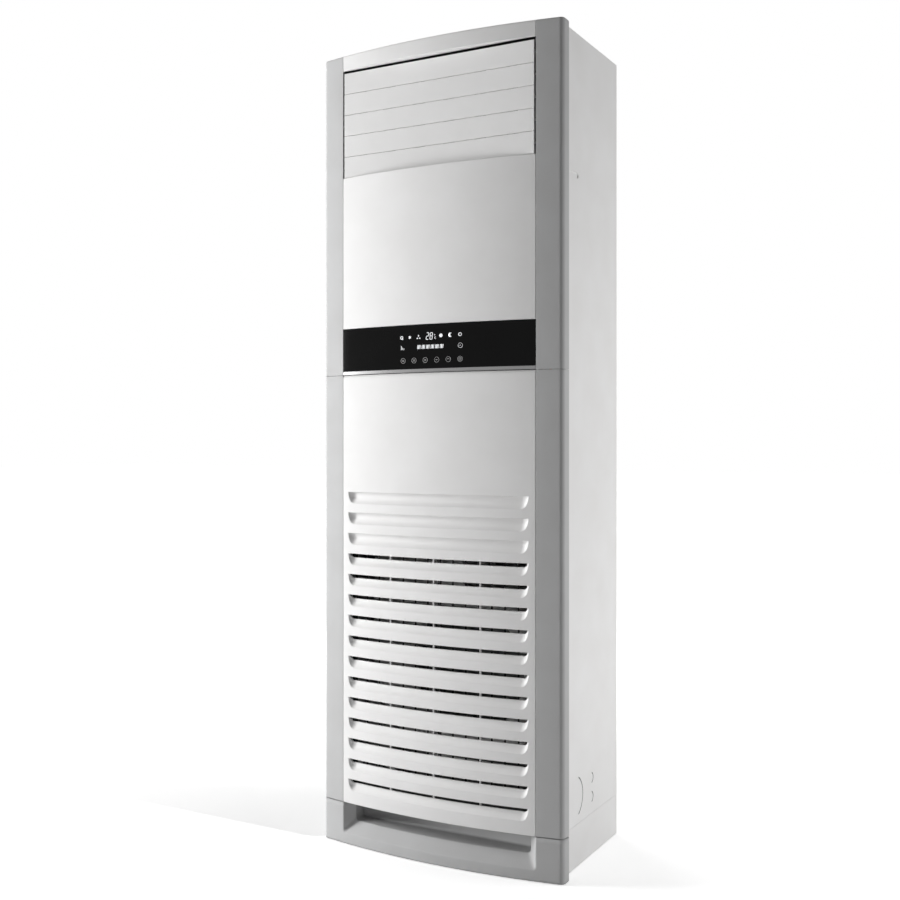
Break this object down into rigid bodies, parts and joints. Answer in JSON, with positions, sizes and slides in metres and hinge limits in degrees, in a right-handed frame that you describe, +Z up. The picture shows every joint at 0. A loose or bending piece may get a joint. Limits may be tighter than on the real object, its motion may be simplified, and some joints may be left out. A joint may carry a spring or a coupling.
{
  "type": "floor standing air conditioner",
  "caption": "Tall floor-standing indoor air conditioner with a bowed front, tilting louvres, swinging vanes, touch display and slotted intake panel.",
  "frame": {"origin": "on the floor, under the middle of the cabinet", "axes": "+X to the right seen from the front, +Y to the rear, +Z up; the front faces -Y"},
  "size_m": [0.614, 0.39, 1.84],
  "materials": {
    "white_plastic": "satin",
    "silver_plastic": "satin metallic paint",
    "white_painted_steel": "satin",
    "black_glossy_plastic": "gloss",
    "black_plastic": "matt",
    "dark_plastic": "matt",
    "grey_plastic": "satin",
    "chrome_trim": "polished",
    "galvanised_steel": "zinc coated",
    "bright_steel": "plated",
    "white_foam": "matt",
    "fin_aluminium": "satin",
    "copper": "satin",
    "black_rubber": "matt",
    "grey_hose": "satin",
    "circuit_board": "satin",
    "filter_mesh": "matt",
    "dark_painted_metal": "satin"
  },
  "bodies": {
    "cabinet": {"base_pan": "galvanised_steel", "foot_pads": "black_rubber", "rear_panel": "white_painted_steel", "side_panel_left": "white_painted_steel", "side_panel_right": "white_painted_steel", "base_skirts": "white_painted_steel", "top_cover": "white_painted_steel", "chassis_posts": "galvanised_steel", "cross_rails": "galvanised_steel", "middle_rail": "galvanised_steel", "pillar_upper_left": "silver_plastic", "pillar_upper_right": "silver_plastic", "pillar_lower_left": "silver_plastic", "pillar_lower_right": "silver_plastic", "top_trim": "white_plastic", "upper_front_panel": "white_plastic", "display_window": "black_glossy_plastic", "display_housing": "black_plastic", "display_board": "circuit_board", "chrome_strip": "chrome_trim", "plinth": "silver_plastic", "outlet_frame": "dark_plastic", "louvre_motor": "bright_steel", "vane_motor": "bright_steel", "coil_cover": "galvanised_steel", "insulation_panels": "white_foam", "evaporator_fins": "fin_aluminium", "evaporator_tubes": "copper", "tube_plates": "galvanised_steel", "drain_pan": "white_plastic", "fan_deck": "galvanised_steel", "scroll_front": "white_plastic", "scroll_housing": "white_plastic", "fan_motor": "dark_painted_metal", "motor_bracket": "galvanised_steel", "electrical_box": "galvanised_steel", "electrical_cover": "galvanised_steel", "control_board": "circuit_board", "refrigerant_pipes": "copper", "drain_hose": "grey_hose", "cabinet_screws": "bright_steel", "cable_gland": "black_plastic"},
    "louvre_1": {"louvre_blade_1": "white_plastic"},
    "louvre_2": {"louvre_blade_2": "white_plastic"},
    "louvre_3": {"louvre_blade_3": "white_plastic"},
    "louvre_4": {"louvre_blade_4": "white_plastic"},
    "louvre_5": {"louvre_blade_5": "white_plastic"},
    "louvre_link_bar": {"louvre_link": "dark_plastic"},
    "swing_vane_1": {"vane_1": "dark_plastic"},
    "swing_vane_2": {"vane_2": "dark_plastic"},
    "swing_vane_3": {"vane_3": "dark_plastic"},
    "swing_vane_4": {"vane_4": "dark_plastic"},
    "swing_vane_5": {"vane_5": "dark_plastic"},
    "vane_link_bar": {"vane_link": "dark_plastic"},
    "front_intake": {"intake_panel": "white_plastic"},
    "air_filter": {"filter_frame": "dark_plastic", "filter_net": "filter_mesh"},
    "fan_rotor": {"fan_wheel": "grey_plastic", "motor_shaft": "bright_steel"}
  },
  "joints": [
    {"name": "louvre_tilt_1", "type": "hinge", "parent": "cabinet", "child": "louvre_1", "pos_m": [0, -0.16599, 1.7736], "axis": [-1, 0, 0], "range_deg": [0, 80]},
    {"name": "louvre_tilt_2", "type": "hinge", "parent": "cabinet", "child": "louvre_2", "pos_m": [0, -0.16599, 1.7248], "axis": [-1, 0, 0], "range_deg": [0, 80]},
    {"name": "louvre_tilt_3", "type": "hinge", "parent": "cabinet", "child": "louvre_3", "pos_m": [0, -0.16599, 1.676], "axis": [-1, 0, 0], "range_deg": [0, 80]},
    {"name": "louvre_tilt_4", "type": "hinge", "parent": "cabinet", "child": "louvre_4", "pos_m": [0, -0.16599, 1.6272], "axis": [-1, 0, 0], "range_deg": [0, 80]},
    {"name": "louvre_tilt_5", "type": "hinge", "parent": "cabinet", "child": "louvre_5", "pos_m": [0, -0.16599, 1.5784], "axis": [-1, 0, 0], "range_deg": [0, 80]},
    {"name": "louvre_link_pivot", "type": "hinge", "parent": "louvre_3", "child": "louvre_link_bar", "pos_m": [0.255, -0.15609, 1.6859], "axis": [-1, 0, 0], "range_deg": [-80, 0]},
    {"name": "vane_swing_1", "type": "hinge", "parent": "cabinet", "child": "swing_vane_1", "pos_m": [-0.16, -0.12799, 1.68], "axis": [0, 0, 1], "range_deg": [-35, 35]},
    {"name": "vane_swing_2", "type": "hinge", "parent": "cabinet", "child": "swing_vane_2", "pos_m": [-0.08, -0.12799, 1.68], "axis": [0, 0, 1], "range_deg": [-35, 35]},
    {"name": "vane_swing_3", "type": "hinge", "parent": "cabinet", "child": "swing_vane_3", "pos_m": [0, -0.12799, 1.68], "axis": [0, 0, 1], "range_deg": [-35, 35]},
    {"name": "vane_swing_4", "type": "hinge", "parent": "cabinet", "child": "swing_vane_4", "pos_m": [0.08, -0.12799, 1.68], "axis": [0, 0, 1], "range_deg": [-35, 35]},
    {"name": "vane_swing_5", "type": "hinge", "parent": "cabinet", "child": "swing_vane_5", "pos_m": [0.16, -0.12799, 1.68], "axis": [0, 0, 1], "range_deg": [-35, 35]},
    {"name": "vane_link_pivot", "type": "hinge", "parent": "swing_vane_3", "child": "vane_link_bar", "pos_m": [0, -0.10399, 1.5523], "axis": [0, 0, 1], "range_deg": [-35, 35]},
    {"name": "intake_panel_swing", "type": "hinge", "parent": "cabinet", "child": "front_intake", "pos_m": [0, -0.166, 1.0889], "axis": [-1, 0, 0], "range_deg": [0, 12]},
    {"name": "filter_slide", "type": "slide", "parent": "front_intake", "child": "air_filter", "axis": [0, 0, 1], "range_m": [0, 0.3]},
    {"name": "fan_spin", "type": "hinge", "parent": "cabinet", "child": "fan_rotor", "pos_m": [0.016, 0.02, 0.41], "axis": [0, 1, 0], "continuous": true}
  ],
  "couplings": [
    {"joint": "louvre_tilt_1", "follows": "louvre_tilt_3", "ratio": 1},
    {"joint": "louvre_tilt_2", "follows": "louvre_tilt_3", "ratio": 1},
    {"joint": "louvre_tilt_4", "follows": "louvre_tilt_3", "ratio": 1},
    {"joint": "louvre_tilt_5", "follows": "louvre_tilt_3", "ratio": 1},
    {"joint": "louvre_link_pivot", "follows": "louvre_tilt_3", "ratio": -1},
    {"joint": "vane_swing_1", "follows": "vane_swing_3", "ratio": 1},
    {"joint": "vane_swing_2", "follows": "vane_swing_3", "ratio": 1},
    {"joint": "vane_swing_4", "follows": "vane_swing_3", "ratio": 1},
    {"joint": "vane_swing_5", "follows": "vane_swing_3", "ratio": 1},
    {"joint": "vane_link_pivot", "follows": "vane_swing_3", "ratio": -1}
  ]
}
